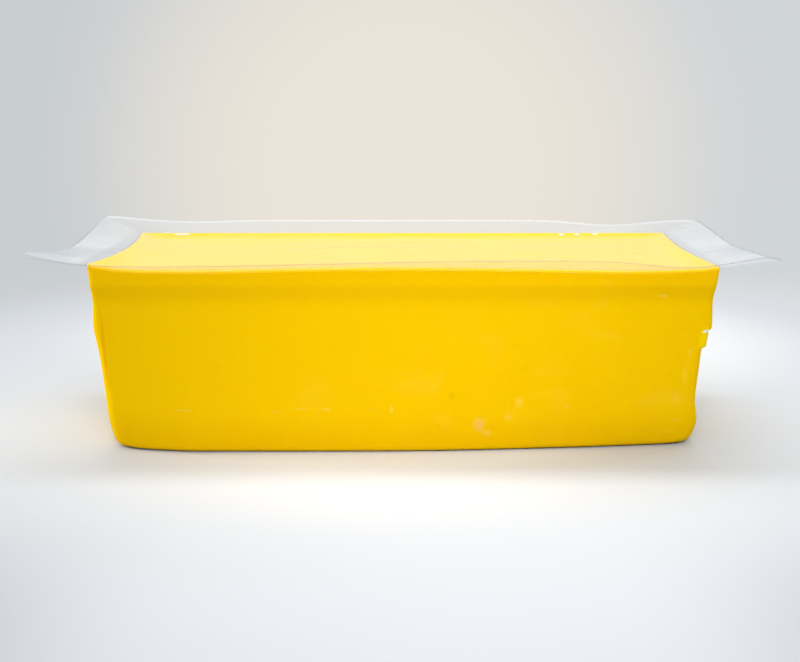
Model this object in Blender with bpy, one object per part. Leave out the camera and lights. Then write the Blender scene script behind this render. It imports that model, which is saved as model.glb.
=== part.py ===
"""A vacuum-packed loaf of smooth yellow cheese, in three pieces.

cheese_block  the loaf: soft corners, dished ends and a raised rim round its top
pocket_film   the clear web formed round the loaf's base and walls, with its flange
lid_film      the clear web that lies on the loaf and is sealed to that flange

The origin is on the table, under the middle of the film's outline. +X runs along the
loaf, +Y runs from the shown long wall to the hidden one, and +Z is up.

All three pieces are drawn first on one chart and cut by the same lines, so that the
thin films lie evenly over the loaf. A chart point (u, v, w) means:
u, v  -1 to 1 across the loaf, and on to -2 and 2 at the cut edge of the film
w     0 to 1 round the bottom edge, 1 to 2 up the wall, and 2 to 3 over the rim
place() moves a chart point to its real position.
"""

from math import cos, exp, hypot, pi, radians, sin, tan

import bmesh
import bpy
from mathutils import Matrix, Vector

MM = 0.001
CHART_SLACK = 1e-4

# The film, whose cut edge is the outline of the whole pack
SHEET_LENGTH = 349 * MM
SHEET_DEPTH = 152 * MM
SHEET_CORNER = 3 * MM
FILM_THICKNESS = 0.3 * MM
FILM_GAP = 0.3 * MM

# The loaf
LOAF_BASE = FILM_GAP + FILM_THICKNESS
LOAF_SHIFT = 0.9 * MM
RIM_HEIGHT = 94.6 * MM
RIM_RADIUS = 1.2 * MM
BASE_RADIUS = 5 * MM
CORNER_RADIUS_BASE = 6.5 * MM
CORNER_RADIUS_RIM = 3.5 * MM
MIN_CORNER = 1.2 * MM
LEFT_REACH = 148.3 * MM
LEFT_DRAFT = 0.034
LEFT_DISH = 5.4 * MM
LEFT_SKEW = 2.5 * MM
RIGHT_REACH = 146.5 * MM
RIGHT_DRAFT = 0.016
RIGHT_DISH = 2.8 * MM
WALL_REACH = 53.8 * MM
WALL_DRAFT = -0.004

# The film draws the loaf's rim out and up, most of all at its four corners
RIM_FLARE = 0.7 * MM
RIM_FLARE_DEPTH = 5 * MM
RIM_WAVE = 0.8 * MM
RIM_WAVE_SPAN = 0.8
BACK_RIM_DROP = 0.5 * MM
LEFT_CORNER_LIFT = 3.0 * MM
RIGHT_CORNER_LIFT = 1.6 * MM
CORNER_LIFT_POWER = 12
TRAY_DEPTH = 2.0 * MM
TRAY_SLOPE = 5 * MM
NECK_DEPTH = 0.6 * MM
NECK_HEIGHT = 79 * MM
BELLY_DEPTH = 0.6 * MM
BELLY_HEIGHT = 63 * MM
WAVE_SPREAD = 8 * MM

# The shown wall draws back towards its foot, a lot at the right and a little at the left
RIGHT_TOE = 12.5 * MM
RIGHT_TOE_START = -0.2
RIGHT_TOE_POWER = 1.8
LEFT_TOE = 6.5 * MM
LEFT_TOE_START = 0.72
LEFT_TOE_POWER = 1.5

# The right-hand end sags over a fold of the film, most at its front corner
SAG_LIFT = 3.2 * MM
SAG_FOOT = 52.3 * MM
SAG_EDGE = 1.0 * MM
SAG_WIDTH = 0.9
HEEL_LIFT = 2.3 * MM
HEEL_HEIGHT = 12 * MM
HEEL_SPREAD = 8 * MM

# The left-hand end is tucked in at its foot
TUCK_DEPTH = 2.0 * MM
TUCK_SPREAD = 10 * MM

# Heights of the film's cut edge above the rim
FRONT_EDGE = 6.0 * MM
FRONT_SWELL = 1.5 * MM
FRONT_SWELL_AT = 0.38
FRONT_SWELL_SPAN = 1.2
FRONT_DIP = 3.0 * MM
FRONT_DIP_AT = 0.76
BACK_EDGE = 3.4 * MM
BACK_DIP_LEFT = 1.1 * MM
BACK_DIP_RIGHT = 3.0 * MM
BACK_DIP_AT = 0.71
DIP_SPAN = 0.15
LEFT_END_EDGE = -0.4 * MM
RIGHT_END_EDGE = 1.3 * MM
END_BLEND = 0.6

# Corners of the film: rise, and how far it reaches along the wall and along the end
CORNER_RISE = {
    (-1, -1): (8.4 * MM, 14 * MM, 26 * MM),
    (1, -1): (8.6 * MM, 16 * MM, 16 * MM),
    (-1, 1): (5.6 * MM, 16 * MM, 16 * MM),
    (1, 1): (1.4 * MM, 16 * MM, 16 * MM),
}
# The tips droop again, over a shorter stretch
TIP_DROOP = {
    (-1, -1): (4.0 * MM, 5 * MM, 6 * MM),
    (1, -1): (6.8 * MM, 6 * MM, 18 * MM),
    (-1, 1): (2.0 * MM, 6 * MM, 6 * MM),
    (1, 1): (1.0 * MM, 6 * MM, 6 * MM),
}
# The two webs part a little there
TIP_PARTING = {
    (-1, -1): 1.2 * MM,
    (1, -1): 0.3 * MM,
    (-1, 1): 0.4 * MM,
    (1, 1): 0.3 * MM,
}
TIP_PARTING_REACH = 10 * MM
FLANGE_CURVE = 0.9

# Lines that cut the chart, in steps or as shares of the stretch that they cut
LENGTH_STEPS = 7
DEPTH_STEPS = 3
CORNER_STEPS = 2
ROUND_STEPS = 2
FLANGE_STEPS = 3
WALL_LINES = (0.09, 0.22, 0.38, 0.52, 0.545, 0.66, 0.83, 0.94)
CORNER_SHARE_U = 0.05
CORNER_SHARE_V = 0.14


def clamp(value, limit):
    return max(-limit, min(limit, value))


def smooth(share):
    share = max(0.0, min(1.0, share))
    return share * share * (3 - 2 * share)


def bump(value, centre, spread):
    return exp(-(((value - centre) / spread) ** 2))


def onset(value, start):
    """0 up to start, and from there up to 1 at 1."""
    return max(0.0, (value - start) / (1 - start))


def rounded_plan(u, v, half_x, half_y, radius):
    """Draw the square chart out to a rectangle with round corners."""
    x = u * half_x
    y = v * half_y
    core_x = clamp(x, half_x - radius)
    core_y = clamp(y, half_y - radius)
    dx = x - core_x
    dy = y - core_y
    spread = hypot(dx, dy)
    if spread == 0:
        return x, y
    pull = max(abs(dx), abs(dy)) / spread
    return core_x + dx * pull, core_y + dy * pull


def rim_height(u, v):
    """The rim is highest at its corners, and at the middle of the front."""
    to_front = (1 - v) / 2
    wave = RIM_WAVE * (cos(pi * u / RIM_WAVE_SPAN) - 1) * to_front
    corner_lift = LEFT_CORNER_LIFT if u < 0 else RIGHT_CORNER_LIFT
    corner = corner_lift * u ** CORNER_LIFT_POWER * to_front ** 2
    return RIM_HEIGHT + wave + corner - BACK_RIM_DROP * (1 - to_front)


def profile(u, v, w, grow):
    """Height of a wall point, and how far the edge rounds draw it in."""
    rim = rim_height(u, v)
    if w < 1:
        radius = BASE_RADIUS + grow
        angle = radians(90 * w)
        return LOAF_BASE - grow + radius * (1 - cos(angle)), radius * (1 - sin(angle))
    if w <= 2:
        foot = LOAF_BASE + BASE_RADIUS
        shoulder = rim - RIM_RADIUS
        return foot + (shoulder - foot) * (w - 1), 0.0
    radius = RIM_RADIUS + grow
    angle = radians(90 * (w - 2))
    return rim - RIM_RADIUS + radius * sin(angle), radius * (1 - cos(angle))


def end_reach(u, v, z):
    """Distance from mid-length to an end wall."""
    dished = (1 - v * v) * (z / RIM_HEIGHT) ** 2
    sway = RIM_FLARE * exp((z - RIM_HEIGHT) / RIM_FLARE_DEPTH)
    sway += BELLY_DEPTH * bump(z, BELLY_HEIGHT, WAVE_SPREAD)
    sway -= NECK_DEPTH * bump(z, NECK_HEIGHT, WAVE_SPREAD)
    if u < 0:
        short = LEFT_SKEW * (1 + v) / 2 + TUCK_DEPTH * bump(z, 0, TUCK_SPREAD)
        return LEFT_REACH + LEFT_DRAFT * z + sway - short - LEFT_DISH * dished
    sag = SAG_LIFT * smooth((z - SAG_FOOT) / (2 * SAG_EDGE) + 0.5) * bump(v, -1, SAG_WIDTH)
    heel = HEEL_LIFT * bump(z, HEEL_HEIGHT, HEEL_SPREAD)
    return RIGHT_REACH + RIGHT_DRAFT * z + sway + sag + heel - RIGHT_DISH * dished


def wall_reach(u, v, z):
    """Distance from mid-depth to a long wall."""
    reach = WALL_REACH + WALL_DRAFT * z + RIM_FLARE * exp((z - RIM_HEIGHT) / RIM_FLARE_DEPTH)
    if v > 0:
        return reach
    toe = RIGHT_TOE * onset(u, RIGHT_TOE_START) ** RIGHT_TOE_POWER
    toe += LEFT_TOE * onset(-u, LEFT_TOE_START) ** LEFT_TOE_POWER
    return reach - toe * max(0.0, 1 - z / RIM_HEIGHT)


def loaf_point(u, v, w, grow):
    """A point of the loaf's skin, or of the same skin grown outwards."""
    z, inset = profile(u, v, w, grow)
    half_x = end_reach(u, v, z) + grow - inset
    half_y = wall_reach(u, v, z) + grow - inset
    up = z / RIM_HEIGHT
    corner = CORNER_RADIUS_BASE + (CORNER_RADIUS_RIM - CORNER_RADIUS_BASE) * up
    corner = max(MIN_CORNER, corner + grow - inset)
    x, y = rounded_plan(u, v, half_x, half_y, corner)
    if w == 3:
        from_rim = min((1 - abs(u)) * half_x, (1 - abs(v)) * half_y)
        z -= TRAY_DEPTH * (1 - exp(-from_rim / TRAY_SLOPE))
    return Vector((x + LOAF_SHIFT, y, z))


def near_corner(corner, x, y, reach_x, reach_y):
    """1 at a corner of the film, and falling away from it."""
    along = (x - corner[0] * SHEET_LENGTH / 2) / reach_x
    back = (y - corner[1] * SHEET_DEPTH / 2) / reach_y
    return exp(-hypot(along, back))


def edge_height(u, v, x, y):
    """Height of the film's cut edge above the rim, for the point (u, v) of its outline."""
    front = FRONT_EDGE + FRONT_SWELL * cos(pi * (u - FRONT_SWELL_AT) / FRONT_SWELL_SPAN)
    front -= FRONT_DIP * bump(u, FRONT_DIP_AT, DIP_SPAN)
    back = BACK_EDGE - BACK_DIP_RIGHT * bump(u, BACK_DIP_AT, DIP_SPAN)
    back -= BACK_DIP_LEFT * bump(u, -BACK_DIP_AT, DIP_SPAN)
    to_front = smooth(-v) ** END_BLEND
    to_back = smooth(v)
    end = LEFT_END_EDGE if u < 0 else RIGHT_END_EDGE
    height = front * to_front + back * to_back + end * (1 - to_front - to_back)
    for corner in CORNER_RISE:
        rise, *reach = CORNER_RISE[corner]
        height += rise * near_corner(corner, x, y, *reach)
        droop, *reach = TIP_DROOP[corner]
        height -= droop * near_corner(corner, x, y, *reach)
    return height


def flange_point(u, v, grow):
    """A point of the flange, between the loaf's shoulder and the film's cut edge."""
    ring = max(abs(u), abs(v))
    across = ring - 1
    root = loaf_point(u / ring, v / ring, 2, grow)
    half_x = SHEET_LENGTH / 2
    half_y = SHEET_DEPTH / 2
    x, y = rounded_plan(u / ring, v / ring, half_x, half_y, SHEET_CORNER)
    edge = RIM_HEIGHT + edge_height(u / ring, v / ring, x, y)
    z = root.z + (edge - root.z) * across ** FLANGE_CURVE
    return Vector((root.x + (x - root.x) * across, root.y + (y - root.y) * across, z))


def place(u, v, w, grow):
    if max(abs(u), abs(v)) > 1 + CHART_SLACK:
        return flange_point(u, v, grow)
    return loaf_point(u, v, w, grow)


def tip_parting(point):
    """How far apart the two webs are, near the tips of the flange's corners."""
    apart = 0.0
    for corner in TIP_PARTING:
        share = near_corner(corner, point.x, point.y, TIP_PARTING_REACH, TIP_PARTING_REACH)
        apart += TIP_PARTING[corner] * share
    return apart


def half_lines(steps, corner_share):
    """Chart lines from the middle out, closer together towards the corner round."""
    flat = 1 - corner_share
    lines = [flat * sin(pi / 2 * k / steps) for k in range(1, steps + 1)]
    for k in range(1, CORNER_STEPS):
        lines.append(flat + corner_share * tan(pi / 4 * k / CORNER_STEPS))
    return [-line for line in reversed(lines)] + [0.0] + lines


def wall_lines():
    bottom_round = [k / ROUND_STEPS for k in range(1, ROUND_STEPS + 1)]
    wall = [1 + line for line in WALL_LINES]
    rim_round = [2 + k / ROUND_STEPS for k in range(ROUND_STEPS)]
    return bottom_round + wall + rim_round


def cut(chart, axis, lines):
    """Cut the chart by planes across one axis."""
    for line in lines:
        chart_parts = chart.verts[:] + chart.edges[:] + chart.faces[:]
        bmesh.ops.bisect_plane(chart, geom=chart_parts, plane_co=axis * line, plane_no=axis)


def add_flange(chart):
    """Draw a fin out from the shoulder, ring by ring."""
    shoulder = [edge for edge in chart.edges if all(abs(end.co.z - 2) < CHART_SLACK for end in edge.verts)]
    for step in range(FLANGE_STEPS):
        widen = (1 + (step + 1) / FLANGE_STEPS) / (1 + step / FLANGE_STEPS)
        drawn = bmesh.ops.extrude_edge_only(chart, edges=shoulder)["geom"]
        shoulder = [item for item in drawn if isinstance(item, bmesh.types.BMEdge)]
        shoulder = [edge for edge in shoulder if all(end in drawn for end in edge.verts)]
        ring = [item for item in drawn if isinstance(item, bmesh.types.BMVert)]
        bmesh.ops.scale(chart, vec=(widen, widen, 1), verts=ring)


def draw_chart():
    chart = bmesh.new()
    bmesh.ops.create_cube(chart, size=2)
    stretch = Matrix.Translation((0, 0, 1.5)) @ Matrix.Diagonal((1, 1, 1.5, 1))
    bmesh.ops.transform(chart, matrix=stretch, verts=chart.verts)
    cut(chart, Vector((1, 0, 0)), half_lines(LENGTH_STEPS, CORNER_SHARE_U))
    cut(chart, Vector((0, 1, 0)), half_lines(DEPTH_STEPS, CORNER_SHARE_V))
    cut(chart, Vector((0, 0, 1)), wall_lines())
    add_flange(chart)
    bmesh.ops.triangulate(chart, faces=chart.faces)
    return chart


def region(face):
    """Which stretch of the chart a face belongs to."""
    centre = face.calc_center_median()
    if max(abs(centre.x), abs(centre.y)) > 1 + CHART_SLACK:
        return "flange"
    return "crown" if centre.z > 2 else "pocket"


def face_up(surface, upwards):
    """Turn an open surface so that its widest level stretch faces up or down."""
    bmesh.ops.recalc_face_normals(surface, faces=surface.faces)
    drift = sum(face.normal.z * face.calc_area() for face in surface.faces)
    if (drift > 0) != upwards:
        bmesh.ops.reverse_faces(surface, faces=surface.faces)


def draw_surface(name, regions, grow, upwards=None, lift=None):
    """Keep some regions of the chart and move them to their real positions."""
    surface = draw_chart()
    left_out = [face for face in surface.faces if region(face) not in regions]
    bmesh.ops.delete(surface, geom=left_out, context="FACES")
    for vert in surface.verts:
        w = vert.co.z
        vert.co = place(vert.co.x, vert.co.y, round(w, 5), grow)
        if lift:
            vert.co.z += lift(vert.co, w)
    if upwards is None:
        bmesh.ops.recalc_face_normals(surface, faces=surface.faces)
    else:
        face_up(surface, upwards)
    mesh = bpy.data.meshes.new(name)
    surface.to_mesh(mesh)
    surface.free()
    mesh.shade_smooth()
    piece = bpy.data.objects.new(name, mesh)
    bpy.context.scene.collection.objects.link(piece)
    return piece


def add_thickness(piece):
    """Thicken a film away from the loaf."""
    skin = piece.modifiers.new("Film thickness", "SOLIDIFY")
    skin.thickness = FILM_THICKNESS
    skin.offset = 1
    skin.use_even_offset = True
    skin.use_quality_normals = True


def paint(piece, name, colour, roughness, alpha=1.0):
    material = bpy.data.materials.new(name)
    material.use_nodes = True
    shader = material.node_tree.nodes["Principled BSDF"]
    shader.inputs["Base Color"].default_value = (*colour, 1)
    shader.inputs["Roughness"].default_value = roughness
    shader.inputs["Metallic"].default_value = 0.0
    shader.inputs["Alpha"].default_value = alpha
    piece.data.materials.append(material)


def build_cheese():
    cheese = draw_surface("cheese_block", ("pocket", "crown"), grow=0.0)
    paint(cheese, "yellow cheese", (0.93, 0.58, 0.01), roughness=0.35)


def build_pocket():
    pocket = draw_surface("pocket_film", ("pocket", "flange"), FILM_GAP, upwards=False)
    add_thickness(pocket)
    paint(pocket, "clear formed film", (0.86, 0.88, 0.90), roughness=0.08, alpha=0.25)


def lid_lift(point, w):
    """The lid clears the pocket's flange, and comes down to the loaf over the rim."""
    return FILM_GAP * (3 - w) + tip_parting(point)


def build_lid():
    lid = draw_surface("lid_film", ("crown", "flange"), FILM_GAP, upwards=True, lift=lid_lift)
    add_thickness(lid)
    paint(lid, "clear top film", (0.86, 0.88, 0.90), roughness=0.05, alpha=0.2)


def clear_scene():
    for item in list(bpy.data.objects):
        bpy.data.objects.remove(item, do_unlink=True)


clear_scene()
build_cheese()
build_pocket()
build_lid()
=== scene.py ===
# %% [markdown]
# # A vacuum-packed loaf of smooth yellow cheese
#
# The real object is a long slicing loaf. A machine forms a clear web into a pocket, a
# warm loaf goes in, a second web is laid on top, the air is drawn out and the two webs
# are sealed together round the rim. What is left over sticks out as a thin flange.
#
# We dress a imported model, which is loaded first and never moved. Its three solids are
# the loaf, the formed web and the top web, and each gets a finer piece of ours.

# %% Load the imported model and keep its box
from math import cos, exp, hypot, log, pi, radians, sin, tan

import bmesh
import bpy
from mathutils import Matrix, Vector, noise


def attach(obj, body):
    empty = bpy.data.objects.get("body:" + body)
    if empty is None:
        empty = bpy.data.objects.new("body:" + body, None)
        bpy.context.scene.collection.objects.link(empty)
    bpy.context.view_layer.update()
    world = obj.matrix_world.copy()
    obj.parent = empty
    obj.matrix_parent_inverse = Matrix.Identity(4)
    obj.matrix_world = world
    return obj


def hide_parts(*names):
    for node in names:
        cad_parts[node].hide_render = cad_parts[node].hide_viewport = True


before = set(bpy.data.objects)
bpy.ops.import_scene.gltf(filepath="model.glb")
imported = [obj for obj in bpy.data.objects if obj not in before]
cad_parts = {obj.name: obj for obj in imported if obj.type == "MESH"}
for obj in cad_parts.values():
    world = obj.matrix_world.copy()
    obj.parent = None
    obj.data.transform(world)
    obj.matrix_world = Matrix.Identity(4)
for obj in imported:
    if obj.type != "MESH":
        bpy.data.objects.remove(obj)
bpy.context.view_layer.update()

MM = 0.001
print("packed nodes:", sorted(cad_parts))

# %% [markdown]
# ## The camera
#
# The photograph was taken from just above, square to the long wall. A 50 mm lens about
# 0.58 m away, looking 14 degrees down, puts every outline where the photograph has it.

# %% Stand the camera where the photograph was taken
CAMERA_PLACE = (-0.0007, -0.5759, 0.197)
CAMERA_PITCH = 14.34

camera_data = bpy.data.cameras.new("camera")
camera_data.lens = 50
camera_data.sensor_width = 36
camera_data.clip_start = 0.01
camera = bpy.data.objects.new("camera", camera_data)
camera.location = CAMERA_PLACE
camera.rotation_euler = (radians(90 - CAMERA_PITCH), 0, 0)
bpy.context.scene.collection.objects.link(camera)
bpy.context.scene.camera = camera
print("camera pitched down by", CAMERA_PITCH, "degrees")

# %% [markdown]
# ## The form of the loaf, as a few small functions
#
# The loaf isn't a plain block: its ends are dished, its top is a shallow tray with a
# raised rim, the shown wall draws back towards its foot at the right, and the right-hand
# end sags over a fold of the film. We could push these in by hand, but then the film
# would have to be pushed in the same way. So every form is a function of the place on
# the loaf, and the loaf and both webs are drawn by the same functions.
#
# A place on the loaf is (u, v, w): u and v run from -1 to 1 across it, and on to -2 and 2
# at the film's cut edge. w runs from 0 to 1 round the bottom edge, from 1 to 2 up the
# wall, and from 2 to 3 over the rim.

# %% Small curves that the forms are made of
def clamp(value, limit):
    return max(-limit, min(limit, value))


def smooth(share):
    share = max(0.0, min(1.0, share))
    return share * share * (3 - 2 * share)


def bump(value, centre, spread):
    return exp(-(((value - centre) / spread) ** 2))


def onset(value, start):
    return max(0.0, (value - start) / (1 - start))


print("a bump is 1 at its centre:", bump(5, 5, 2))

# %% The sizes of the film and the loaf
SHEET_LENGTH = 349 * MM
SHEET_DEPTH = 152 * MM
SHEET_CORNER = 3 * MM
FILM_THICKNESS = 0.15 * MM
FILM_GAP = 0.15 * MM
LOAF_BASE = FILM_GAP + FILM_THICKNESS
LOAF_SHIFT = 0.9 * MM
RIM_HEIGHT = 94.6 * MM
RIM_RADIUS = 1.3 * MM
RIM_RADIUS_END = 1.0 * MM
BASE_RADIUS = 3.0 * MM
BASE_RADIUS_END = 5 * MM
RADIUS_CHANGE_START = 0.9
print("loaf height in mm:", round(RIM_HEIGHT / MM, 1))

# %% [markdown]
# ### Plan and height
#
# The plan is a rectangle with round corners. Its corners and the middle of its shown
# edge stand highest, because the web pulled them up while the cheese was warm.

# %% Draw the plan and the rim's height
RIM_WAVE = 0.8 * MM
RIM_WAVE_SPAN = 0.8
BACK_RIM_DROP = 0.5 * MM
CORNER_LIFT = {-1: 3.0 * MM, 1: 1.6 * MM}
CORNER_LIFT_POWER = 12


def rounded_plan(u, v, half_x, half_y, radius):
    x = u * half_x
    y = v * half_y
    core_x = clamp(x, half_x - radius)
    core_y = clamp(y, half_y - radius)
    dx = x - core_x
    dy = y - core_y
    spread = hypot(dx, dy)
    if spread == 0:
        return x, y
    pull = max(abs(dx), abs(dy)) / spread
    return core_x + dx * pull, core_y + dy * pull


def rim_height(u, v):
    to_front = (1 - v) / 2
    wave = RIM_WAVE * (cos(pi * u / RIM_WAVE_SPAN) - 1) * to_front
    corner = CORNER_LIFT[-1 if u < 0 else 1] * u ** CORNER_LIFT_POWER * to_front ** 2
    return RIM_HEIGHT + wave + corner - BACK_RIM_DROP * (1 - to_front)


def edge_radii(u):
    """Towards the ends the bottom edge gets rounder and the rim gets crisper."""
    to_end = smooth((abs(u) - RADIUS_CHANGE_START) / (1 - RADIUS_CHANGE_START))
    base = BASE_RADIUS + (BASE_RADIUS_END - BASE_RADIUS) * to_end
    return base, RIM_RADIUS + (RIM_RADIUS_END - RIM_RADIUS) * to_end


def profile(u, v, w, grow):
    rim = rim_height(u, v)
    base_radius, rim_radius = edge_radii(u)
    if w < 1:
        radius = base_radius + grow
        angle = radians(90 * w)
        return LOAF_BASE - grow + radius * (1 - cos(angle)), radius * (1 - sin(angle))
    shoulder = rim - rim_radius
    if w <= 2:
        foot = LOAF_BASE + base_radius
        return foot + (shoulder - foot) * (w - 1), 0.0
    radius = rim_radius + grow
    angle = radians(90 * (w - 2))
    return shoulder + radius * sin(angle), radius * (1 - cos(angle))


print("rim at the left front corner, mm:", round(rim_height(-1, -1) / MM, 1))

# %% [markdown]
# ### The two ends
#
# Each end is dished at its top, and a vacuum leaves a soft neck and belly in it. At the
# right-hand end the web folded over itself about two thirds up, so the cheese above the
# fold hangs over the cheese below it, with a thin flap squeezed out at the front corner.

# %% Draw the two ends
LEFT_REACH = 148.3 * MM
LEFT_DRAFT = 0.034
LEFT_DISH = 5.4 * MM
LEFT_SKEW = 2.5 * MM
TUCK_DEPTH = 2.0 * MM
TUCK_SPREAD = 10 * MM
LEFT_BULGE = 1.3 * MM
LEFT_BULGE_HEIGHT = 67 * MM
LEFT_BULGE_SPREAD = 20 * MM
RIGHT_REACH = 148.4 * MM
RIGHT_DRAFT = 0.016
RIGHT_DISH = 2.8 * MM
RIM_FLARE = 0.7 * MM
RIM_FLARE_DEPTH = 5 * MM
NECK_DEPTH = 0.6 * MM
NECK_HEIGHT = 79 * MM
BELLY_DEPTH = 0.6 * MM
BELLY_HEIGHT = 63 * MM
WAVE_SPREAD = 8 * MM
RIPPLE_BROAD = 0.22 * MM
RIPPLE_FINE = 0.06 * MM
# Where each side of the loaf lies in the noise, so that no two sides are alike
RIPPLE_SIDES = {"left": 3, "right": 5, "back": -3, "front": 0, "top": 11}
RIPPLE_HALF_LENGTH = 150 * MM
RIPPLE_HALF_DEPTH = 50 * MM


def ripple(along, up, side):
    """Soft unevenness of the skin, a few tenths of a millimetre."""
    broad = noise.noise(Vector((along * 22, up * 30, RIPPLE_SIDES[side])))
    fine = noise.noise(Vector((along * 70, up * 90, RIPPLE_SIDES[side] + 7)))
    return RIPPLE_BROAD * broad + RIPPLE_FINE * fine


def left_end(v, z):
    short = LEFT_SKEW * (1 + v) / 2 + TUCK_DEPTH * bump(z, 0, TUCK_SPREAD)
    bulge = LEFT_BULGE * bump(z, LEFT_BULGE_HEIGHT, LEFT_BULGE_SPREAD)
    return LEFT_REACH + LEFT_DRAFT * z + bulge - short


print("left end at its foot, mm:", round(left_end(-1, 0) / MM, 1))

# %% Add the fold to the right-hand end
SAG_LIFT = 2.0 * MM
SAG_FOOT = 53.0 * MM
SAG_EDGE = 0.7 * MM
SAG_WIDTH = 0.9
FOLD_STEP = 1.2 * MM
FOLD_HEIGHT = 62.3 * MM
FOLD_EDGE = 0.45 * MM
FOLD_GROOVE = 0.9 * MM
GROOVE_HEIGHT = FOLD_HEIGHT - 0.5 * MM
GROOVE_SPREAD = 0.7 * MM
HEEL_LIFT = 2.3 * MM
HEEL_HEIGHT = 12 * MM
HEEL_SPREAD = 8 * MM


def right_end(v, z):
    near_front = bump(v, -1, SAG_WIDTH)
    sag = SAG_LIFT * smooth((z - SAG_FOOT) / (2 * SAG_EDGE) + 0.5) * near_front
    step = FOLD_STEP * smooth((z - FOLD_HEIGHT) / (2 * FOLD_EDGE) + 0.5) * near_front
    groove = FOLD_GROOVE * bump(z, GROOVE_HEIGHT, GROOVE_SPREAD) * near_front
    heel = HEEL_LIFT * bump(z, HEEL_HEIGHT, HEEL_SPREAD)
    return RIGHT_REACH + RIGHT_DRAFT * z + sag + step - groove + heel - FOLD_STEP


def end_reach(u, v, z):
    """Distance from mid-length to an end wall."""
    dished = (1 - v * v) * (z / RIM_HEIGHT) ** 2
    sway = RIM_FLARE * exp((z - RIM_HEIGHT) / RIM_FLARE_DEPTH)
    sway += BELLY_DEPTH * bump(z, BELLY_HEIGHT, WAVE_SPREAD)
    sway -= NECK_DEPTH * bump(z, NECK_HEIGHT, WAVE_SPREAD)
    sway += ripple(v * RIPPLE_HALF_DEPTH, z, "left" if u < 0 else "right")
    if u < 0:
        return left_end(v, z) + sway - LEFT_DISH * dished
    return right_end(v, z) + sway - RIGHT_DISH * dished


reaches = [round(right_end(-1, height * MM) / MM, 1) for height in (66, 58, 48)]
print("right end above and below the fold, mm:", reaches)

# %% [markdown]
# ### The long walls
#
# A long wall swells a little just under the rim, like a brow, and is tucked in at its
# foot. The shown one also draws back towards its foot, a lot at the right and a little at
# the left. These leans are a millimetre or two, but they are what shades so plain a wall:
# above the brow it catches light from the roof, and below the brow it loses some.

# %% Draw the long walls
WALL_REACH = 53.8 * MM
WALL_DRAFT = -0.004
RIGHT_TOE = 12.5 * MM
RIGHT_TOE_START = -0.2
RIGHT_TOE_POWER = 1.8
LEFT_TOE = 6.5 * MM
LEFT_TOE_START = 0.72
LEFT_TOE_POWER = 1.5
BROW = 1.2 * MM
BROW_HEIGHT = 86.5 * MM
BROW_SPREAD = 6.5 * MM
BROW_END_GAIN = 0.5
FOOT_TUCK = 1.6 * MM
FOOT_HEIGHT = 22 * MM


def wall_reach(u, v, z):
    """Distance from mid-depth to a long wall."""
    reach = WALL_REACH + WALL_DRAFT * z
    reach += ripple(u * RIPPLE_HALF_LENGTH, z, "back" if v > 0 else "front")
    reach += BROW * (1 + BROW_END_GAIN * u * u) * bump(z, BROW_HEIGHT, BROW_SPREAD)
    reach -= FOOT_TUCK * max(0.0, 1 - z / FOOT_HEIGHT) ** 2
    if v > 0:
        return reach
    toe = RIGHT_TOE * onset(u, RIGHT_TOE_START) ** RIGHT_TOE_POWER
    toe += LEFT_TOE * onset(-u, LEFT_TOE_START) ** LEFT_TOE_POWER
    return reach - toe * max(0.0, 1 - z / RIM_HEIGHT)


drawn_back = wall_reach(0, -1, 0) - wall_reach(1, -1, 0)
print("the right foot is drawn back, mm:", round(drawn_back / MM, 1))

# %% [markdown]
# ### The tray in the top
#
# The top web was drawn down by the vacuum, so the top is a tray over 2 mm deep. Its slope
# starts at the rim. The distance to the rim is a soft minimum of the distances to the
# four sides, because a plain minimum would leave a crease along each mitre.

# %% Put the walls and the tray together
TRAY_DEPTH = 2.4 * MM
TRAY_SLOPE = 6 * MM
MITRE_SOFTNESS = 3 * MM
CORNER_RADIUS_BASE = 6.5 * MM
CORNER_RADIUS_RIM = 3.5 * MM
MIN_CORNER = 1.2 * MM
TOP_RIPPLE = 1.5


def from_rim(u, v, half_x, half_y):
    sides = ((1 - abs(u)) * half_x, (1 - abs(v)) * half_y)
    nearest = min(sides)
    spread = sum(exp((nearest - side) / MITRE_SOFTNESS) for side in sides)
    softening = MITRE_SOFTNESS * log(spread) * smooth(nearest / (2 * MITRE_SOFTNESS))
    return max(0.0, nearest - softening)


def loaf_point(u, v, w, grow):
    """A point of the loaf's skin, or of the same skin grown outwards."""
    z, inset = profile(u, v, w, grow)
    half_x = end_reach(u, v, z) + grow - inset
    half_y = wall_reach(u, v, z) + grow - inset
    corner = CORNER_RADIUS_BASE + (CORNER_RADIUS_RIM - CORNER_RADIUS_BASE) * z / RIM_HEIGHT
    corner = max(MIN_CORNER, corner + grow - inset)
    x, y = rounded_plan(u, v, half_x, half_y, corner)
    if w == 3:
        inwards = from_rim(u, v, half_x, half_y)
        settle = 1 - exp(-inwards / TRAY_SLOPE)
        z -= TRAY_DEPTH * settle
        z += settle * TOP_RIPPLE * ripple(x, y, "top")
    return Vector((x + LOAF_SHIFT, y, z))


print("middle of the top, mm:", round(loaf_point(0, 0, 3, 0).z / MM, 1))

# %% [markdown]
# ## The flange of the film
#
# The two webs leave the loaf together at its shoulder and run out to a cut edge. They
# aren't flat: the sealing heat made the outline curl up, most at the four corners, whose
# tips droop again.

# %% Set the heights of the film's cut edge above the rim
FRONT_EDGE = 6.0 * MM
FRONT_SWELL = 1.5 * MM
FRONT_SWELL_AT = 0.38
FRONT_SWELL_SPAN = 1.2
FRONT_DIP = 3.0 * MM
FRONT_DIP_AT = 0.76
BACK_EDGE = 3.4 * MM
BACK_DIP = {-1: 1.1 * MM, 1: 3.0 * MM}
BACK_DIP_AT = 0.71
DIP_SPAN = 0.15
END_EDGE = {-1: -0.4 * MM, 1: 1.3 * MM}
END_BLEND = 0.6

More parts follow.
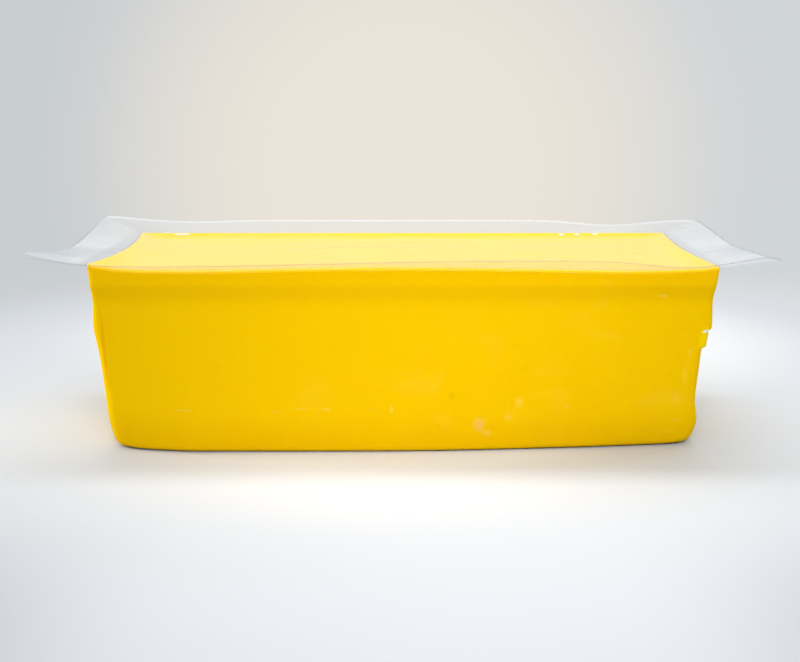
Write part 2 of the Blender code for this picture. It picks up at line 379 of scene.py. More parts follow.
# Rise of each corner, and how far it reaches along the wall and along the end
CORNER_RISE = {
    (-1, -1): (8.4 * MM, 14 * MM, 26 * MM),
    (1, -1): (8.6 * MM, 16 * MM, 16 * MM),
    (-1, 1): (3.9 * MM, 16 * MM, 16 * MM),
    (1, 1): (0.3 * MM, 16 * MM, 16 * MM),
}
# The tips droop again, over a shorter stretch
TIP_DROOP = {
    (-1, -1): (4.0 * MM, 5 * MM, 6 * MM),
    (1, -1): (6.8 * MM, 6 * MM, 18 * MM),
    (-1, 1): (2.0 * MM, 6 * MM, 6 * MM),
    (1, 1): (1.0 * MM, 6 * MM, 6 * MM),
}
FLANGE_CURVE = 0.9


def near_corner(corner, x, y, reach_x, reach_y):
    """1 at a corner of the film, and falling away from it."""
    along = (x - corner[0] * SHEET_LENGTH / 2) / reach_x
    back = (y - corner[1] * SHEET_DEPTH / 2) / reach_y
    return exp(-hypot(along, back))


def edge_height(u, v, x, y):
    """Height of the film's cut edge above the rim."""
    front = FRONT_EDGE + FRONT_SWELL * cos(pi * (u - FRONT_SWELL_AT) / FRONT_SWELL_SPAN)
    front -= FRONT_DIP * bump(u, FRONT_DIP_AT, DIP_SPAN)
    back = BACK_EDGE
    back -= sum(dip * bump(u, side * BACK_DIP_AT, DIP_SPAN) for side, dip in BACK_DIP.items())
    to_front = smooth(-v) ** END_BLEND
    to_back = smooth(v)
    end = END_EDGE[-1 if u < 0 else 1]
    height = front * to_front + back * to_back + end * (1 - to_front - to_back)
    for corner in CORNER_RISE:
        rise, *reach = CORNER_RISE[corner]
        height += rise * near_corner(corner, x, y, *reach)
        droop, *reach = TIP_DROOP[corner]
        height -= droop * near_corner(corner, x, y, *reach)
    return height


middle = [edge_height(0, side, 0, side * SHEET_DEPTH / 2) for side in (-1, 1)]
print("edge above the rim, front and back, mm:", [round(value / MM, 1) for value in middle])

# %% Draw the flange
FLUTTER = 0.35 * MM
FLUTTER_SCALE = 28


def flange_point(u, v, grow):
    """A point of the flange, between the loaf's shoulder and the film's cut edge."""
    ring = max(abs(u), abs(v))
    across = ring - 1
    root = loaf_point(u / ring, v / ring, 2, grow)
    x, y = rounded_plan(u / ring, v / ring, SHEET_LENGTH / 2, SHEET_DEPTH / 2, SHEET_CORNER)
    edge = RIM_HEIGHT + edge_height(u / ring, v / ring, x, y)
    z = root.z + (edge - root.z) * across ** FLANGE_CURVE
    x = root.x + (x - root.x) * across
    y = root.y + (y - root.y) * across
    flutter = noise.noise(Vector((x * FLUTTER_SCALE, y * FLUTTER_SCALE, 2))) * sin(pi * across)
    return Vector((x, y, z + FLUTTER * flutter))


JUST_OUTSIDE = 1.0001


def place(u, v, w, grow):
    if max(abs(u), abs(v)) > JUST_OUTSIDE:
        return flange_point(u, v, grow)
    return loaf_point(u, v, w, grow)


print("left front tip of the film, mm:", [round(value / MM, 1) for value in place(-2, -2, 2, 0)])

# %% [markdown]
# ## The chart
#
# Loaf and webs are all cut from one chart: a cube whose lines become the lines of the
# real surfaces. A Subdivision Surface would be quicker, but it pulls a corner round in a
# way that the film couldn't follow. Cutting the cube with planes puts every line where
# it is needed: close together at the rim, the corners and the fold.

# %% Choose the lines that cut the chart
CORNER_STEPS = 6
CORNER_SHARE_U = 0.05
CORNER_SHARE_V = 0.14
EVEN_SHARE = 0.6


def half_lines(steps, corner_share):
    """Chart lines from the middle out, closer together towards the corner round."""
    flat = 1 - corner_share
    lines = []
    for k in range(1, steps + 1):
        share = k / steps
        lines.append(flat * (EVEN_SHARE * share + (1 - EVEN_SHARE) * sin(pi / 2 * share)))
    for k in range(1, CORNER_STEPS):
        lines.append(flat + corner_share * tan(pi / 4 * k / CORNER_STEPS))
    return [-line for line in reversed(lines)] + [0.0] + lines


# From this height up the lines are this far apart, both in mm
WALL_STEPS = {0: 1.7, 50: 0.5, 66: 1.7, 86: 0.8}
LAST_WALL_STEP = 0.6


def wall_lines():
    """Lines up the wall, closer together at the fold and under the rim."""
    foot = (LOAF_BASE + BASE_RADIUS_END) / MM
    shoulder = (RIM_HEIGHT - RIM_RADIUS) / MM
    heights = []
    height = foot
    while height < shoulder - LAST_WALL_STEP:
        heights.append(height)
        height += [step for start, step in WALL_STEPS.items() if height > start][-1]
    return [(height - foot) / (shoulder - foot) + 1 for height in heights]


STEPS_ACROSS = 16
STEPS_ALONG = 44
ROUND_STEPS = 6
bottom_round = [k / ROUND_STEPS for k in range(1, ROUND_STEPS)]
rim_round = [2 + k / ROUND_STEPS for k in range(ROUND_STEPS)]
chart_lines = {
    "Z": bottom_round + wall_lines() + rim_round,
    "Y": half_lines(STEPS_ACROSS, CORNER_SHARE_V),
    "X": half_lines(STEPS_ALONG, CORNER_SHARE_U),
}
print("lines in the chart:", {axis: len(lines) for axis, lines in chart_lines.items()})

# %% Cut the chart from a cube
AXES = {"X": Vector((1, 0, 0)), "Y": Vector((0, 1, 0)), "Z": Vector((0, 0, 1))}
FLANGE_STEPS = 14


def draw_flange(chart):
    """Draw a fin out from the shoulder, ring by ring."""
    shoulder = [edge for edge in chart.edges if all(abs(end.co.z - 2) < 1e-4 for end in edge.verts)]
    for step in range(FLANGE_STEPS):
        widen = (1 + (step + 1) / FLANGE_STEPS) / (1 + step / FLANGE_STEPS)
        drawn = bmesh.ops.extrude_edge_only(chart, edges=shoulder)["geom"]
        fresh = set(item for item in drawn if isinstance(item, bmesh.types.BMVert))
        shoulder = [item for item in drawn if isinstance(item, bmesh.types.BMEdge)]
        shoulder = [edge for edge in shoulder if edge.verts[0] in fresh and edge.verts[1] in fresh]
        bmesh.ops.scale(chart, vec=(widen, widen, 1), verts=list(fresh))


chart = bmesh.new()
bmesh.ops.create_cube(chart, size=2)
stretch = Matrix.Translation((0, 0, 1.5)) @ Matrix.Diagonal((1, 1, 1.5, 1))
bmesh.ops.transform(chart, matrix=stretch, verts=chart.verts)
for name, lines in chart_lines.items():
    axis = AXES[name]
    for line in lines:
        everything = chart.verts[:] + chart.edges[:] + chart.faces[:]
        bmesh.ops.bisect_plane(chart, geom=everything, plane_co=axis * line, plane_no=axis)
draw_flange(chart)
print("faces in the chart:", len(chart.faces))

# %% [markdown]
# ## From the chart to a piece
#
# A piece keeps some regions of the chart: the pocket (base and walls), the crown (rim
# and top) or the flange. Each point then moves to its real place.

# %% Make a piece from some regions of the chart
def region(face):
    centre = face.calc_center_median()
    if max(abs(centre.x), abs(centre.y)) > JUST_OUTSIDE:
        return "flange"
    return "crown" if centre.z > 2 else "pocket"


def draw_surface(name, regions, grow, upwards=None, lift=None):
    surface = chart.copy()
    left_out = [face for face in surface.faces if region(face) not in regions]
    bmesh.ops.delete(surface, geom=left_out, context="FACES")
    for vert in surface.verts:
        w = vert.co.z
        vert.co = place(vert.co.x, vert.co.y, round(w, 5), grow)
        if lift:
            vert.co.z += lift(vert.co, w)
    bmesh.ops.recalc_face_normals(surface, faces=surface.faces)
    drift = sum(face.normal.z * face.calc_area() for face in surface.faces)
    if upwards is not None and (drift > 0) != upwards:
        bmesh.ops.reverse_faces(surface, faces=surface.faces)
    mesh = bpy.data.meshes.new(name)
    surface.to_mesh(mesh)
    surface.free()
    mesh.shade_smooth()
    piece = bpy.data.objects.new(name, mesh)
    bpy.context.scene.collection.objects.link(piece)
    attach(piece, "root")
    return piece


loaf = draw_surface("cheese_loaf", ("pocket", "crown"), grow=0.0)
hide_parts("cheese_block")
print("loaf faces:", len(loaf.data.polygons))

# %% [markdown]
# ## The two webs
#
# Real film is a tenth or two of a millimetre thick. A Solidify modifier gives it that,
# away from the loaf, and paints the cut edge with a second material: a cut edge of
# clear plastic scatters light, so it shows as a thin line all round the flange.

# %% Draw the formed web and the top web
TIP_PARTING = {(-1, -1): 1.2 * MM, (1, -1): 0.3 * MM, (-1, 1): 0.4 * MM, (1, 1): 0.3 * MM}
TIP_PARTING_REACH = 10 * MM


def tip_parting(point):
    """How far apart the two webs are, near the tips of the flange's corners."""
    apart = 0.0
    for corner in TIP_PARTING:
        share = near_corner(corner, point.x, point.y, TIP_PARTING_REACH, TIP_PARTING_REACH)
        apart += TIP_PARTING[corner] * share
    return apart


def lid_lift(point, w):
    return FILM_GAP * (3 - w) + tip_parting(point)


def add_thickness(piece):
    skin = piece.modifiers.new("Film thickness", "SOLIDIFY")
    skin.thickness = FILM_THICKNESS
    skin.offset = 1
    skin.use_even_offset = True
    skin.use_quality_normals = True
    skin.material_offset_rim = 1


pocket = draw_surface("formed_web", ("pocket", "flange"), FILM_GAP, upwards=False)
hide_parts("pocket_film")
add_thickness(pocket)

lid = draw_surface("top_web", ("crown", "flange"), FILM_GAP, upwards=True, lift=lid_lift)
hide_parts("lid_film")
add_thickness(lid)
chart.free()
print("film faces before thickness:", len(pocket.data.polygons), len(lid.data.polygons))

# %% [markdown]
# ## Shader maths as Python
#
# A material is a graph of nodes. Wiring it by hand hides the idea, so a wire is wrapped
# in a small class: adding two wires adds a Math node, and so on.

# %% Wrap shader sockets in Python's arithmetic
class Wire:
    """One value, colour or vector that flows through a finish."""

    def __init__(self, finish, socket):
        self.finish = finish
        self.socket = socket

    def maths(self, operation, first, second):
        return self.finish.node("ShaderNodeMath", {"operation": operation}, {0: first, 1: second})

    def __add__(self, other):
        return self.maths("ADD", self, other)

    __radd__ = __add__

    def __sub__(self, other):
        return self.maths("SUBTRACT", self, other)

    def __rsub__(self, other):
        return self.maths("SUBTRACT", other, self)

    def __mul__(self, other):
        return self.maths("MULTIPLY", self, other)

    __rmul__ = __mul__

    def __truediv__(self, other):
        return self.maths("DIVIDE", self, other)

    def __lt__(self, other):
        return self.maths("LESS_THAN", self, other)

    def __gt__(self, other):
        return self.maths("GREATER_THAN", self, other)

    def __abs__(self):
        return self.maths("ABSOLUTE", self, 0.0)

    def power(self, exponent):
        return self.maths("POWER", self, exponent)

    def at_least(self, other):
        return self.maths("MAXIMUM", self, other)

    def between(self, low, high):
        """0 at low and 1 at high, with soft ends."""
        settings = {"interpolation_type": "SMOOTHSTEP"}
        return self.finish.node("ShaderNodeMapRange", settings, {0: self, 1: low, 2: high})


print("wires know:", "+ - * / < >")

# %% [markdown]
# A material owns a tree of nodes. One class of ours adds nodes to that tree by their
# type, their settings and what feeds their sockets, so a finish reads from top to bottom.
# It also knows the few patterns that this pack needs: clouds, spots and bumps.

# %% Gather a material's nodes in one place
SPOT_EDGE = 1.5


class Finish:
    """A material, or the sky, under construction."""

    def __init__(self, owner, coordinates="Object"):
        owner.use_nodes = True
        self.owner = owner
        self.tree = owner.node_tree
        self.tree.nodes.clear()
        self.place = self.node("ShaderNodeTexCoord", output=coordinates)

    def node(self, kind, settings=None, sockets=None, output=0):
        """Add a node, set it, feed its sockets, and give back one output."""
        node = self.tree.nodes.new(kind)
        for name, value in (settings or {}).items():
            setattr(node, name, value)
        for name, value in (sockets or {}).items():
            if isinstance(value, Wire):
                self.tree.links.new(value.socket, node.inputs[name])
            else:
                node.inputs[name].default_value = value
        return Wire(self, node.outputs[output])

    def axes(self):
        split = self.node("ShaderNodeSeparateXYZ", sockets={0: self.place})
        outputs = split.socket.node.outputs
        return [Wire(self, outputs[name]) for name in ("X", "Y", "Z")]

    def clouds(self, scale, detail=2.0, roughness=0.5, stretch=(1, 1, 1), distortion=0.0):
        """Soft noise from 0 to 1, with scale in clouds per metre."""
        where = self.place
        if stretch != (1, 1, 1):
            sockets = {"Vector": self.place, "Scale": stretch}
            where = self.node("ShaderNodeMapping", sockets=sockets)
        sockets = {"Vector": where, "Scale": scale, "Detail": detail, "Roughness": roughness}
        sockets["Distortion"] = distortion
        return self.node("ShaderNodeTexNoise", sockets=sockets, output="Fac")

    def blend(self, share, first, second):
        """Mix two colours."""
        settings = {"data_type": "RGBA"}
        return self.node("ShaderNodeMix", settings, {0: share, 6: first, 7: second}, output=2)

    def bumps(self, height, distance, strength=1.0):
        sockets = {"Height": height, "Distance": distance, "Strength": strength}
        return self.node("ShaderNodeBump", sockets=sockets)

    def spots(self, across, up, places, ragged=0.0):
        """1 inside some ellipses, each given by its centre and half-sizes in mm.

        The mask falls to 0 at SPOT_EDGE, in squares of the half-size.
        """
        mask = 0.0
        for centre_across, centre_up, wide, high in places:
            reach_across = (across - centre_across * MM) / (wide * MM)
            reach_up = (up - centre_up * MM) / (high * MM)
            reach = reach_across * reach_across + reach_up * reach_up + ragged
            mask = (1 - reach.between(0.0, SPOT_EDGE)).at_least(mask)
        return mask

    def mix_shaders(self, share, first, second):
        return self.node("ShaderNodeMixShader", sockets={0: share, 1: first, 2: second})

    def close(self, surface, output="ShaderNodeOutputMaterial"):
        end = self.tree.nodes.new(output)
        self.tree.links.new(surface.socket, end.inputs["Surface"])
        return self.owner


def new_finish(name):
    return Finish(bpy.data.materials.new(name))


print("a finish is built from nodes by type, settings and sockets")

# %% [markdown]
# ## The cheese
#
# This is smooth processed cheese: an even, strong yellow, clouded a little paler where
# fat lies near the skin, with tiny pinholes and pale specks. Light goes a few millimetres
# into cheese, so the shader has a little subsurface scattering, which softens the edges.

# %% Start the cheese's finish: clouds, pinholes and specks
CHEESE_YELLOW = (0.930, 0.556, 0.0005, 1)
CHEESE_PALE = (0.940, 0.575, 0.012, 1)
CHEESE_DEEP = (0.890, 0.500, 0.0005, 1)
PINHOLE = (0.560, 0.330, 0.005, 1)
SPECK = (0.960, 0.700, 0.100, 1)

cheese = new_finish("yellow cheese")
x, y, z = cheese.axes()
pale_clouds = cheese.clouds(38, detail=4, roughness=0.62, distortion=0.6).between(0.50, 0.74)
pale_clouds = pale_clouds * cheese.clouds(9).between(0.42, 0.62)
deep_clouds = cheese.clouds(16, detail=3).between(0.52, 0.80)


DOT_CORE = 0.6


def dots(scale, size, share):
    """Round dots of one size at random places: share of the cells have one."""
    sockets = {"Vector": cheese.place, "Scale": scale}
    cell = cheese.node("ShaderNodeTexVoronoi", {"feature": "F1"}, sockets, output="Color")
    distance = Wire(cheese, cell.socket.node.outputs["Distance"])
    pick = cheese.node("ShaderNodeSeparateColor", sockets={0: cell}) < share
    return (1 - distance.between(size * scale * DOT_CORE, size * scale)) * pick


masks = {
    "deep clouds": deep_clouds,
    "pale clouds": pale_clouds,
    "specks": dots(scale=120, size=0.8 * MM, share=0.10),
    "pinholes": dots(scale=150, size=0.55 * MM, share=0.16),
}
print("nodes so far in the cheese:", len(cheese.tree.nodes))

# %% [markdown]
# ### Its marks
#
# The shown wall has marks that make it this loaf and no other: a tan smear with a tail,
# pale spots, a broken row of dashes where the edge of the form pressed, a few dark pits,
# and pale wrinkles at the right. Three more are painted light and shade: an orange line of
# painted shade down the left corner where a crease is, painted light on a lemon flap above
# the wrinkles, and a painted glint at the top of the flap. Each is a ragged ellipse at a
# measured place, which is easy to move.

# %% Place the marks that the shown wall has
# Across, up, half-width and half-height, all in mm
MARK_PLACES = {
    "tail": [(42.6, 10.4, 2.6, 2.0), (38.2, 16.2, 3.2, 3.0)],
    "smear": [(38.8, 14.2, 2.6, 3.2)],
    "pale": [
        (52.8, 18.7, 1.9, 1.7), (58.3, 26.4, 2.2, 3.2), (82.1, 23.8, 1.5, 1.3),
        (125.9, 80.7, 2.8, 1.0),
    ],
    "dashes": [
        (-108.4, 23.0, 4.4, 0.6), (-62.0, 22.2, 1.9, 0.6), (-49.1, 23.7, 3.2, 0.6),
        (-36.9, 23.5, 2.8, 0.8), (-14.0, 23.6, 1.9, 0.5), (-4.9, 23.4, 1.1, 2.2),
    ],
    "pits": [
        (24.5, 30.1, 1.6, 1.5), (18.5, 14.2, 1.3, 1.2), (-90.5, 45.3, 1.0, 1.0),
        (57.0, 55.7, 0.9, 0.9), (61.4, 43.8, 0.9, 0.9), (-134.9, 11.9, 1.3, 1.0),
        (142.6, 83.6, 1.8, 0.7),
    ],
    "wrinkles": [
        (142.2, 52.0, 1.2, 4.0), (140.6, 39.3, 1.5, 5.5), (137.4, 27.0, 2.4, 3.4),
        (138.4, 14.8, 2.6, 1.2), (135.0, 8.4, 2.2, 1.0),
    ],
    # Painted light on the lemon flap, and a painted glint at its top
    "painted light on flap": [(148.8, 58.0, 3.2, 6.5)],
    "painted glint": [(149.0, 62.2, 1.5, 1.0)],
}
SHOWN_WALL_Y = -30 * MM
RAGGEDNESS = 1.6

shown_wall = y < SHOWN_WALL_Y
ragged = RAGGEDNESS * (cheese.clouds(420, detail=2) - 0.5)
for name, places in MARK_PLACES.items():
    masks[name] = shown_wall * cheese.spots(x, z, places, ragged)
print("kinds of mark:", list(MARK_PLACES))

# %% [markdown]
# ### Its crease and its bands
#
# Soft bands of painted light and shade run along the shown wall: painted light under the
# rim, and painted shade below the brow and at the foot. A thin brown line of painted
# contact shade runs round the foot, and painted shade marks the crease down the left
# corner. A band is cut out of the height by two soft steps, one where it begins and one
# where it ends.

# %% Place the painted shade of the crease and the painted bands of light and shade
CREASE_X = -145.6 * MM
CREASE_CORE = 0.2 * MM
CREASE_EDGE = 1.2 * MM


def above(low, high):
    """0 up to a height of low mm and 1 from a height of high mm."""
    return z.between(low * MM, high * MM)


# Painted shade: an orange line down the left corner, where a crease is
crease_shade = 1 - abs(x - CREASE_X).between(CREASE_CORE, CREASE_EDGE)
masks["crease_shade"] = shown_wall * above(24, 44) * (1 - above(62, 82)) * crease_shade
# Painted contact shade: a dark brown line round the foot
masks["painted contact shade"] = 1 - above(0.5, 1.8)
# Painted shade low on the shown wall, painted light under the rim, painted shade below the brow
masks["painted low shade"] = shown_wall * (1 - above(4, 24))
masks["painted light under rim"] = shown_wall * above(86.5, 89)
masks["painted shade under brow"] = shown_wall * above(74, 83) * (1 - above(84, 88))
print("masks of the cheese:", len(masks))

# %% [markdown]
# ### Its colours, laid over each other
#
# Each mask lets a share of its own colour through, in the order of this list, as thin
# paint does. Last comes the skin: a fine grain, and a roughness that varies a little.

# %% Mix the cheese's colours and finish its skin
# The share of each colour that shows, and the colour
MARK_COLOURS = {
    "deep clouds": (0.30, CHEESE_DEEP),
    "pale clouds": (0.75, CHEESE_PALE),
    "specks": (0.45, SPECK),
    "pinholes": (0.40, PINHOLE),
    # Painted light under the rim, then painted shade low on the wall and below the brow
    "painted light under rim": (0.60, (0.960, 0.540, 0.0005, 1)),
    "painted low shade": (0.55, (0.840, 0.480, 0.0005, 1)),
    "painted shade under brow": (0.90, (0.850, 0.490, 0.0005, 1)),
    # Painted contact shade round the foot
    "painted contact shade": (0.80, (0.300, 0.170, 0.002, 1)),
    "dashes": (0.75, (0.950, 0.620, 0.055, 1)),
    "pale": (0.48, (0.950, 0.620, 0.070, 1)),
    "wrinkles": (0.45, (0.950, 0.600, 0.030, 1)),
    "pits": (0.80, (0.780, 0.470, 0.0005, 1)),
    "tail": (0.60, (0.900, 0.550, 0.060, 1)),
    "smear": (0.68, (0.870, 0.510, 0.110, 1)),
    # Painted shade in the crease down the left corner
    "crease_shade": (0.70, (0.880, 0.400, 0.0005, 1)),
    # Painted light on the lemon flap, and a painted glint at its top
    "painted light on flap": (0.85, (0.990, 0.700, 0.002, 1)),
    "painted glint": (1.00, (0.960, 0.940, 0.800, 1)),
}
GRAIN_DEPTH = 0.04 * MM
SKIN_ROUGHNESS = 0.36
ROUGHNESS_CHANGE = 0.14

colour = CHEESE_YELLOW
for name, (share, mark_colour) in MARK_COLOURS.items():
    colour = cheese.blend(masks[name] * share, colour, mark_colour)

dimples = cheese.bumps(cheese.clouds(900, detail=2), distance=GRAIN_DEPTH, strength=0.6)
skin = cheese.node("ShaderNodeBsdfPrincipled", sockets={
    "Base Color": colour,
    "Roughness": SKIN_ROUGHNESS + ROUGHNESS_CHANGE * cheese.clouds(45, detail=3),
    "Normal": dimples,
    "Specular IOR Level": 0.0,
    "Subsurface Weight": 0.20,
    "Subsurface Radius": (1.0, 0.55, 0.08),
    "Subsurface Scale": 4 * MM,
})
loaf.data.materials.append(cheese.close(skin))
print("nodes in the cheese:", len(cheese.tree.nodes))

# %% [markdown]
# ## The clear film
#
# Clear film is hardly there where we look straight through it, and shines where we look
# along it. A Transparent shader and a glossy one do that, mixed by how far the surface
# turns away from the eye. True glass would keep the lamps off the cheese, and a Fresnel
# node turns total on the inner side of so thin a web, so the law is written out here.
# The film that clings to the loaf is wetted by it and nearly vanishes. Where the two
# webs stand free, as the flange, a breath of white haze makes them read as plastic. A white
# line along the back edge is a painted highlight, and along the back lip of the loaf a few
# white spots are painted glints. The wings at the two ends are milkier, and the front of
# the flange is smoothest and shines least.

# %% Choose where the film clings, and how it is clouded
CLING_X = 153 * MM
CLING_Y = 56 * MM
FREE_RISE = (-1 * MM, 3 * MM)
FRONT_RISE = (CLING_Y - 5 * MM, CLING_Y + 2 * MM)
FRONT_DULLING = 0.85
WING_RISE = (CLING_X - 3 * MM, CLING_X + 3 * MM)
WING_BACK = 50 * MM
WING_MILK = 3.5
# A painted highlight: a white line along the back edge of the film
BACK_HIGHLIGHT_RISE = (73.6 * MM, 74.5 * MM)
BACK_HIGHLIGHT_WHITE = 0.18
LIP_HEIGHT = RIM_HEIGHT - 5 * MM
LIP_GLINT_WHITE = 0.6
MILK_WHITE = (0.90, 0.93, 0.96, 1)
CLEAR_TINT = (0.99, 0.993, 0.995, 1)
GLOSS_TINT = (0.97, 0.98, 1.0, 1)
# Painted glints: white spots on the back lip of the top web
# Across, back, half-width and half-depth, all in mm
LIP_GLINTS = [
    (91.0, 50.3, 1.6, 0.9), (100.0, 50.3, 1.6, 0.9), (110.3, 50.8, 1.5, 0.9),
    (-124.8, 50.5, 4.8, 0.8), (-133.5, 52.6, 1.5, 0.8),
]
print("the film clings within, mm:", round(CLING_X / MM), round(CLING_Y / MM))


# %% Write the film's finish once, for both webs
def film_milk(film, free, haze):
    """How white the film is: hazy where free, painted highlights at the back edge and lip."""
    x, y, z = film.axes()
    clouded = 0.75 + 0.5 * film.clouds(30, detail=1).between(0.3, 0.7)
    wings = abs(x).between(*WING_RISE) * (1 - y.between(0.0, WING_BACK))
    # Painted highlight along the back edge
    back_highlight = y.between(*BACK_HIGHLIGHT_RISE) * BACK_HIGHLIGHT_WHITE
    # Painted glints on the back lip
    lip_glints = film.spots(x, y, LIP_GLINTS) * (z > LIP_HEIGHT) * (1 - free) * LIP_GLINT_WHITE
    hazy = haze * free * clouded * (1 + WING_MILK * wings)
    return hazy.at_least(back_highlight).at_least(lip_glints)


def film_finish(name, shine, grazing_shine, free_share, roughness, haze, ripple_depth, stretch):
    """A clear film: shine is its gloss looked at squarely, free_share that of the flange."""
    film = new_finish(name)
    x, y, z = film.axes()
    free = (abs(x) - CLING_X).at_least(abs(y) - CLING_Y).between(*FREE_RISE)
    broad = film.clouds(55, detail=1, stretch=stretch)
    streaks = film.clouds(160, detail=1, stretch=stretch)
    ripples = film.bumps(broad + 0.25 * streaks, distance=ripple_depth)
    turned = film.node("ShaderNodeLayerWeight", sockets={"Normal": ripples}, output="Facing")
    in_front = (0 - y).between(*FRONT_RISE)
    share = (1 - (1 - free_share) * free) * (1 - FRONT_DULLING * in_front)
    clear = film.node("ShaderNodeBsdfTransparent", sockets={"Color": CLEAR_TINT})
    sockets = {"Color": GLOSS_TINT, "Roughness": roughness, "Normal": ripples}
    gloss = film.node("ShaderNodeBsdfGlossy", sockets=sockets)
    milk = film.node("ShaderNodeBsdfDiffuse", sockets={"Color": MILK_WHITE})
    body = film.mix_shaders(shine + grazing_shine * turned.power(5) * share, clear, gloss)
    return film.close(film.mix_shaders(film_milk(film, free, haze), body, milk))


formed_clear = film_finish(
    "clear formed film", shine=0.0005, grazing_shine=0.025, free_share=1.0,
    roughness=0.10, haze=0.006, ripple_depth=0.6 * MM, stretch=(1, 1, 1),
)
top_clear = film_finish(
    "clear top film", shine=0.012, grazing_shine=0.54, free_share=1.5,
    roughness=0.12, haze=0.010, ripple_depth=0.4 * MM, stretch=(1, 2, 1),
)
print("film finishes:", formed_clear.name, "and", top_clear.name)

# %% [markdown]
# ### The cut edge
#
# Where the web was cut, light comes out of it sideways. The edge is painted white at the
# back, a painted highlight against the light, painted a shaded grey at the front, and
# hardly shows along the ends.

# %% Finish the cut edge and give the webs their materials
# Painted shade and painted highlight: greys for the front of the edge, white for the back
EDGE_SHADED_GREYS = ((0.20, 0.19, 0.16, 1), (0.34, 0.33, 0.30, 1))
EDGE_LIT_WHITE = (0.75, 0.76, 0.75, 1)
EDGE_BACK_RISE = (60 * MM, 75 * MM)
EDGE_FRONT_FALL = (-75 * MM, -60 * MM)
EDGE_ALONG_ENDS = 0.03


def cut_edge_finish():
    edge = new_finish("cut edge of the film")
    y = edge.axes()[1]
    flecks = edge.clouds(600, detail=2)
    at_back = y.between(*EDGE_BACK_RISE)
    edge_colour = edge.blend(at_back, edge.blend(flecks, *EDGE_SHADED_GREYS), EDGE_LIT_WHITE)
    sockets = {"Base Color": edge_colour, "Roughness": 0.25}
    plastic = edge.node("ShaderNodeBsdfPrincipled", sockets=sockets)
    clear = edge.node("ShaderNodeBsdfTransparent")
    shown = at_back.at_least(1 - y.between(*EDGE_FRONT_FALL)).at_least(EDGE_ALONG_ENDS)
    return edge.close(edge.mix_shaders(shown * (0.55 + 0.25 * flecks), clear, plastic))


cut_edge = cut_edge_finish()
for piece, clear_material in ((pocket, formed_clear), (lid, top_clear)):
    piece.data.materials.append(clear_material)
    piece.data.materials.append(cut_edge)
print("materials on the top web:", [slot.name for slot in lid.material_slots])

# %% [markdown]
# ## The floor and the light
#
# The photograph was taken in a white tent that is open towards the camera: soft light
# from above and behind, and a little from the front. A wide pale floor under a smooth sky
# gives the same, and shows no corner from any side. The sky is also the tent's wall: it
# goes on below the horizon, and far off the floor fades into it.

# %% Light the sky
WALL_LEFT = (0.585, 0.615, 0.635, 1)
WALL_RIGHT = (0.640, 0.670, 0.690, 1)
WALL_WARM = (0.830, 0.775, 0.690, 1)
WARM_SPOT = Vector((0, 1, -0.105)).normalized()
WALL_FOOT = (0.620, 0.650, 0.670, 1)
WALL_FOOT_BRIGHT = (0.850, 0.870, 0.890, 1)
SKY_BEHIND = (0.95, 0.95, 0.95, 1)
SKY_IN_FRONT = (0.57, 0.58, 0.59, 1)
WARM_SPOT_RADIUS = radians(18)
FOOT_GLOW_X = 0.14
FOOT_GLOW_SPREAD = 0.50

world = bpy.data.worlds.new("sky")
sky = Finish(world, coordinates="Generated")
x, y, z = sky.axes()
wall = sky.blend(x.between(-0.4, 0.4), WALL_LEFT, WALL_RIGHT)
near_warm_spot = y * WARM_SPOT.y + z * WARM_SPOT.z
wall = sky.blend(near_warm_spot.between(cos(WARM_SPOT_RADIUS), 1.0), wall, WALL_WARM)
from_glow = abs(x - FOOT_GLOW_X).between(0.0, FOOT_GLOW_SPREAD)
foot = sky.blend(from_glow, WALL_FOOT_BRIGHT, WALL_FOOT)
wall = sky.blend(z.between(-0.235, -0.18), foot, wall)
roof = sky.blend(y.between(-0.7, 0.7), SKY_IN_FRONT, SKY_BEHIND)
light = sky.blend(z.between(0.06, 0.26), wall, roof)
sky.close(sky.node("ShaderNodeBackground", sockets={"Color": light}), "ShaderNodeOutputWorld")
bpy.context.scene.world = world
print("sky nodes:", len(sky.tree.nodes))

# %% [markdown]
# ### The floor
#
# The floor is a disc of pale matt paper. In the photograph it isn't lit evenly: it is
# bright behind the loaf and along its foot, and darker in the two near corners. That light
# and shade is painted into the paper's colour: pools of painted light as soft ellipses,
# and painted shade in the near corners.

# %% Lay the floor
FLOOR_RADIUS = 0.50
FLOOR_FADE = (0.32, 0.48)
PAPER = (0.600, 0.625, 0.660, 1)
PAPER_LIT_BEHIND = (0.800, 0.810, 0.820, 1)
PAPER_LIT_IN_FRONT = (0.745, 0.755, 0.790, 1)
PAPER_LIT_AT_FOOT = (0.820, 0.840, 0.890, 1)
PAPER_SHADED_CORNERS = (0.400, 0.420, 0.460, 1)
# Centre across, centre back, narrowing in depth, and where the patch begins and ends
# Painted pools of light on the paper
PATCHES = (
    (PAPER_LIT_BEHIND, 0.03, 0.185, 1.6, 0.12, 0.30),
    (PAPER_LIT_IN_FRONT, -0.01, -0.055, 1.6, 0.0, 0.18),
    (PAPER_LIT_AT_FOOT, -0.01, -0.052, 6.0, 0.02, 0.14),
)

table = bmesh.new()
bmesh.ops.create_circle(table, cap_ends=True, segments=96, radius=FLOOR_RADIUS)
floor_mesh = bpy.data.meshes.new("floor")
table.to_mesh(floor_mesh)
table.free()
floor = bpy.data.objects.new("floor", floor_mesh)
bpy.context.scene.collection.objects.link(floor)

floor_finish = new_finish("pale floor")
x, y, z = floor_finish.axes()


def away_from(centre_x, centre_y, narrowing=1.0):
    """Distance on the floor from a place, with depth stretched by narrowing."""
    off_x, off_y = x - centre_x, narrowing * (y - centre_y)
    return (off_x * off_x + off_y * off_y).power(0.5)


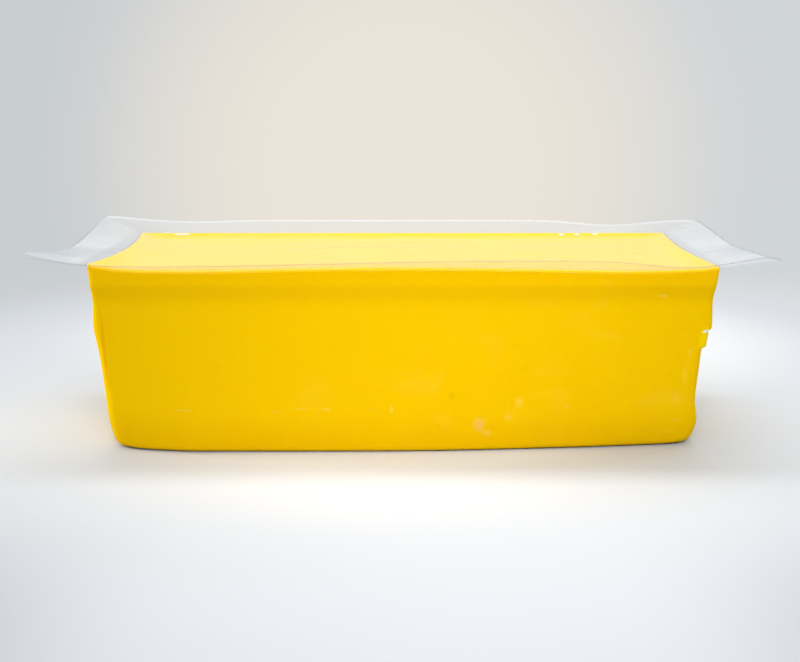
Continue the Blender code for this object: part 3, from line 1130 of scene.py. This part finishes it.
paper_colour = PAPER
for patch_colour, centre_x, centre_y, narrowing, inner, outer in PATCHES:
    away = away_from(centre_x, centre_y, narrowing).between(inner, outer)
    paper_colour = floor_finish.blend(away, patch_colour, paper_colour)
# Painted shade in the two near corners
corner_shade = abs(x).between(0.08, 0.22) * (0 - y).between(0.10, 0.25)
paper_colour = floor_finish.blend(corner_shade, paper_colour, PAPER_SHADED_CORNERS)
paper = floor_finish.node("ShaderNodeBsdfDiffuse", sockets={"Color": paper_colour})
nothing = floor_finish.node("ShaderNodeBsdfTransparent")
faded = floor_finish.mix_shaders(away_from(0, 0).between(*FLOOR_FADE), paper, nothing)
floor.data.materials.append(floor_finish.close(faded))
print("floor radius in metres:", FLOOR_RADIUS)

# %% [markdown]
# ### The lamps
#
# Five soft lamps add what the even sky can't: two shape the left and right of the loaf,
# one lights the left end, a broad one at the back makes the top glow, and a weak one in
# front lifts the shown wall. None of them is seen itself.

# %% Hang the lamps
def hang_lamp(name, place, target, size, power, spread=180):
    """A soft rectangular lamp: power in watts, spread in degrees."""
    lamp_data = bpy.data.lights.new(name, "AREA")
    lamp_data.shape = "RECTANGLE"
    lamp_data.size, lamp_data.size_y = size
    lamp_data.energy = power
    lamp_data.spread = radians(spread)
    lamp = bpy.data.objects.new(name, lamp_data)
    lamp.location = place
    lamp.rotation_euler = (Vector(place) - Vector(target)).to_track_quat("Z", "Y").to_euler()
    lamp.visible_camera = False
    bpy.context.scene.collection.objects.link(lamp)


hang_lamp("left lamp", (-0.34, 0.02, 0.62), (-0.05, 0, 0.05), (0.10, 0.30), 0.18)
hang_lamp("right lamp", (0.34, 0.02, 0.62), (0.05, 0, 0.05), (0.10, 0.30), 0.24)
hang_lamp("left end lamp", (-0.50, 0, 0.18), (-0.15, -0.03, 0.06), (0.08, 0.08), 0.038, spread=30)
hang_lamp("back lamp", (0, 0.12, 0.60), (0, 0.06, 0), (0.50, 0.12), 1.9)
hang_lamp("front fill", (0.03, -0.50, 0.36), (0.03, -0.05, 0.05), (0.20, 0.12), 0.235, spread=70)

scene = bpy.context.scene
scene.view_settings.view_transform = "Standard"
scene.cycles.transparent_max_bounces = 40
